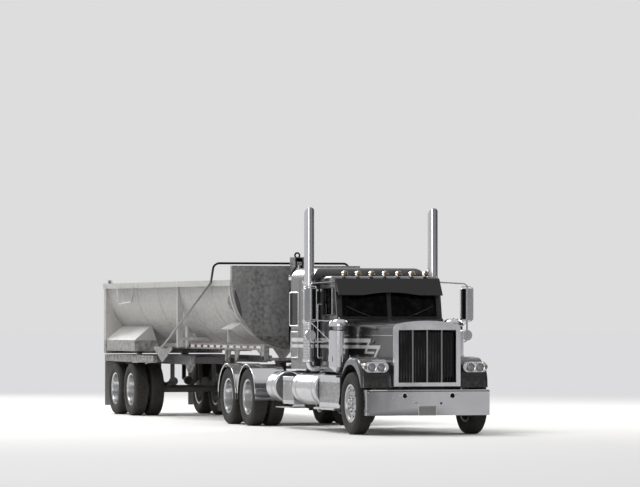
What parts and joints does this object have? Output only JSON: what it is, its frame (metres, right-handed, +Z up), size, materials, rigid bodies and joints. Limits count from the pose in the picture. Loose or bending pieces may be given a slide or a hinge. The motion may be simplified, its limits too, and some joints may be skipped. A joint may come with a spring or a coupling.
{
  "type": "dump truck",
  "caption": "Long-nose tractor with a sleeper, coupled to a half-round tipping semi-trailer that a telescopic hoist raises on draft arms",
  "frame": {"origin": "on the ground at the middle of the whole rig's length and width", "axes": "+Y to the rear of the rig, +X to its left side, +Z up"},
  "size_m": [3.1, 17.876, 3.97],
  "materials": {
    "tractor_paint": "gloss",
    "light_paint": "satin",
    "frame_paint": "satin",
    "trailer_paint": "worn",
    "polished": "polished",
    "alloy": "brushed",
    "tyre": "matte",
    "rubber": "matte",
    "pale_rubber": "dusty",
    "steel": "oiled",
    "iron": "rough",
    "glass": "clear",
    "lamp": "clear",
    "red_lamp": "clear",
    "trim": "grained"
  },
  "bodies": {
    "tractor": {"frame_rails": "frame_paint", "cross_members": "frame_paint", "front_axle": "iron", "suspension": "iron", "drive_axles": "iron", "bumper": "polished", "engine_block": "iron", "radiator": "alloy", "cab_shell": "tractor_paint", "sleeper_shell": "tractor_paint", "cab_glass": "glass", "cab_interior": "trim", "sun_visor": "tractor_paint", "roof_lamps": "lamp", "exhaust_stacks": "polished", "air_cleaners": "polished", "mirrors": "polished", "side_tanks": "alloy", "tool_boxes": "alloy", "drive_fenders": "polished", "tractor_mudflaps": "rubber", "fifth_wheel": "iron"},
    "hood": {"hood": "tractor_paint", "grille": "polished", "headlamps": "polished"},
    "door_left": {"door_left": "tractor_paint", "door_glass_left": "glass"},
    "door_right": {"door_right": "tractor_paint", "door_glass_right": "glass"},
    "hatch_left": {"hatch_left": "tractor_paint"},
    "hatch_right": {"hatch_right": "tractor_paint"},
    "knuckle_left": {"knuckle_left": "iron"},
    "knuckle_right": {"knuckle_right": "iron"},
    "tie_rod": {"tie_rod": "steel"},
    "wheel_front_left": {"wheel_front_left": "tyre"},
    "wheel_front_right": {"wheel_front_right": "tyre"},
    "coupler": {"coupler": "trailer_paint"},
    "hoist_barrel": {"hoist_barrel": "trailer_paint"},
    "hoist_stage_1": {"hoist_stage_1": "steel"},
    "hoist_stage_2": {"hoist_stage_2": "steel"},
    "hoist_stage_3": {"hoist_stage_3": "steel"},
    "hoist_stage_4": {"hoist_stage_4": "steel"},
    "draft_arms": {"draft_arms": "trailer_paint", "landing_gear": "trailer_paint"},
    "tub": {"tub_shell": "light_paint", "tub_frame": "trailer_paint"},
    "tailgate": {"tailgate": "light_paint"},
    "tarp_bow": {"tarp_bow": "steel"},
    "bogie": {"bogie_frame": "trailer_paint", "trailer_axles": "iron", "trailer_mudflaps": "pale_rubber", "rear_lamps": "red_lamp"},
    "wheels_drive_1_left": {"wheels_drive_1_left": "tyre"},
    "wheels_drive_1_right": {"wheels_drive_1_right": "tyre"},
    "wheels_drive_2_left": {"wheels_drive_2_left": "tyre"},
    "wheels_drive_2_right": {"wheels_drive_2_right": "tyre"},
    "wheels_trailer_1_left": {"wheels_trailer_1_left": "tyre"},
    "wheels_trailer_1_right": {"wheels_trailer_1_right": "tyre"},
    "wheels_trailer_2_left": {"wheels_trailer_2_left": "tyre"},
    "wheels_trailer_2_right": {"wheels_trailer_2_right": "tyre"}
  },
  "joints": [
    {"name": "steer_left", "type": "hinge", "parent": "tractor", "child": "knuckle_left", "pos_m": [0.872, -8.152, 0.536], "axis": [0, 0, 1], "range_deg": [-32, 32]},
    {"name": "steer_right", "type": "hinge", "parent": "tractor", "child": "knuckle_right", "pos_m": [-0.872, -8.152, 0.536], "axis": [0, 0, 1], "range_deg": [-32, 32]},
    {"name": "tie_rod_turn", "type": "hinge", "parent": "knuckle_left", "child": "tie_rod", "pos_m": [0.872, -7.967, 0.4], "axis": [0, 0, -1], "range_deg": [-32, 32]},
    {"name": "wheel_front_left_spin", "type": "hinge", "parent": "knuckle_left", "child": "wheel_front_left", "pos_m": [1.04, -8.152, 0.536], "axis": [1, 0, 0], "continuous": true},
    {"name": "wheel_front_right_spin", "type": "hinge", "parent": "knuckle_right", "child": "wheel_front_right", "pos_m": [-1.04, -8.152, 0.536], "axis": [1, 0, 0], "continuous": true},
    {"name": "wheels_drive_1_left_spin", "type": "hinge", "parent": "tractor", "child": "wheels_drive_1_left", "pos_m": [0.902, -1.869, 0.536], "axis": [1, 0, 0], "continuous": true},
    {"name": "wheels_drive_1_right_spin", "type": "hinge", "parent": "tractor", "child": "wheels_drive_1_right", "pos_m": [-0.902, -1.869, 0.536], "axis": [1, 0, 0], "continuous": true},
    {"name": "wheels_drive_2_left_spin", "type": "hinge", "parent": "tractor", "child": "wheels_drive_2_left", "pos_m": [0.902, -0.552, 0.536], "axis": [1, 0, 0], "continuous": true},
    {"name": "wheels_drive_2_right_spin", "type": "hinge", "parent": "tractor", "child": "wheels_drive_2_right", "pos_m": [-0.902, -0.552, 0.536], "axis": [1, 0, 0], "continuous": true},
    {"name": "wheels_trailer_1_left_spin", "type": "hinge", "parent": "bogie", "child": "wheels_trailer_1_left", "pos_m": [0.902, 6.808, 0.536], "axis": [1, 0, 0], "continuous": true},
    {"name": "wheels_trailer_1_right_spin", "type": "hinge", "parent": "bogie", "child": "wheels_trailer_1_right", "pos_m": [-0.902, 6.808, 0.536], "axis": [1, 0, 0], "continuous": true},
    {"name": "wheels_trailer_2_left_spin", "type": "hinge", "parent": "bogie", "child": "wheels_trailer_2_left", "pos_m": [0.902, 8.088, 0.536], "axis": [1, 0, 0], "continuous": true},
    {"name": "wheels_trailer_2_right_spin", "type": "hinge", "parent": "bogie", "child": "wheels_trailer_2_right", "pos_m": [-0.902, 8.088, 0.536], "axis": [1, 0, 0], "continuous": true},
    {"name": "hood_tilt", "type": "hinge", "parent": "tractor", "child": "hood", "pos_m": [0, -8.792, 0.835], "axis": [1, 0, 0], "range_deg": [0, 75]},
    {"name": "door_left_swing", "type": "hinge", "parent": "tractor", "child": "door_left", "pos_m": [0.97, -6.757, 1.8], "axis": [0, 0, -1], "range_deg": [0, 65]},
    {"name": "door_right_swing", "type": "hinge", "parent": "tractor", "child": "door_right", "pos_m": [-0.97, -6.757, 1.8], "axis": [0, 0, 1], "range_deg": [0, 65]},
    {"name": "hatch_left_swing", "type": "hinge", "parent": "tractor", "child": "hatch_left", "pos_m": [1.05, -4.712, 1.52], "axis": [0, 0, -1], "range_deg": [0, 90]},
    {"name": "hatch_right_swing", "type": "hinge", "parent": "tractor", "child": "hatch_right", "pos_m": [-1.05, -4.712, 1.52], "axis": [0, 0, 1], "range_deg": [0, 90]},
    {"name": "trailer_turn", "type": "hinge", "parent": "tractor", "child": "coupler", "pos_m": [0, -1.252, 1.208], "axis": [0, 0, 1], "range_deg": [-80, 80]},
    {"name": "arms_lift", "type": "hinge", "parent": "coupler", "child": "draft_arms", "pos_m": [0, -1.802, 1.25], "axis": [1, 0, 0], "range_deg": [0, 40]},
    {"name": "tub_tip", "type": "hinge", "parent": "draft_arms", "child": "tub", "pos_m": [0, 3.498, 1.455], "axis": [-1, 0, 0], "range_deg": [0, 80]},
    {"name": "bogie_level", "type": "hinge", "parent": "tub", "child": "bogie", "pos_m": [0, 8.798, 1.25], "axis": [1, 0, 0], "range_deg": [0, 40]},
    {"name": "hoist_lean", "type": "hinge", "parent": "coupler", "child": "hoist_barrel", "pos_m": [0, -1.322, 1.36], "axis": [-1, 0, 0], "range_deg": [0, 2.84]},
    {"name": "hoist_slide_1", "type": "slide", "parent": "hoist_barrel", "child": "hoist_stage_1", "axis": [0, 0.0598, 0.9982], "range_m": [0, 1.5169]},
    {"name": "hoist_slide_2", "type": "slide", "parent": "hoist_stage_1", "child": "hoist_stage_2", "axis": [0, 0.0598, 0.9982], "range_m": [0, 1.5169]},
    {"name": "hoist_slide_3", "type": "slide", "parent": "hoist_stage_2", "child": "hoist_stage_3", "axis": [0, 0.0598, 0.9982], "range_m": [0, 1.5169]},
    {"name": "hoist_slide_4", "type": "slide", "parent": "hoist_stage_3", "child": "hoist_stage_4", "axis": [0, 0.0598, 0.9982], "range_m": [0, 1.5169]},
    {"name": "tailgate_swing", "type": "hinge", "parent": "tub", "child": "tailgate", "pos_m": [0, 8.744, 2.765], "axis": [1, 0, 0], "range_deg": [0, 60]},
    {"name": "tarp_swing", "type": "hinge", "parent": "tub", "child": "tarp_bow", "pos_m": [0, 3.678, 1.43], "axis": [-1, 0, 0], "range_deg": [0, 134]}
  ],
  "couplings": [
    {"joint": "steer_right", "follows": "steer_left", "ratio": 1},
    {"joint": "tie_rod_turn", "follows": "steer_left", "ratio": 1},
    {"joint": "tub_tip", "follows": "arms_lift", "ratio": 2},
    {"joint": "bogie_level", "follows": "arms_lift", "ratio": 1},
    {"joint": "hoist_lean", "follows": "arms_lift", "ratio": 0.070996},
    {"joint": "hoist_slide_1", "follows": "arms_lift", "m_per_rad": 2.1728},
    {"joint": "hoist_slide_2", "follows": "arms_lift", "m_per_rad": 2.1728},
    {"joint": "hoist_slide_3", "follows": "arms_lift", "m_per_rad": 2.1728},
    {"joint": "hoist_slide_4", "follows": "arms_lift", "m_per_rad": 2.1728}
  ]
}
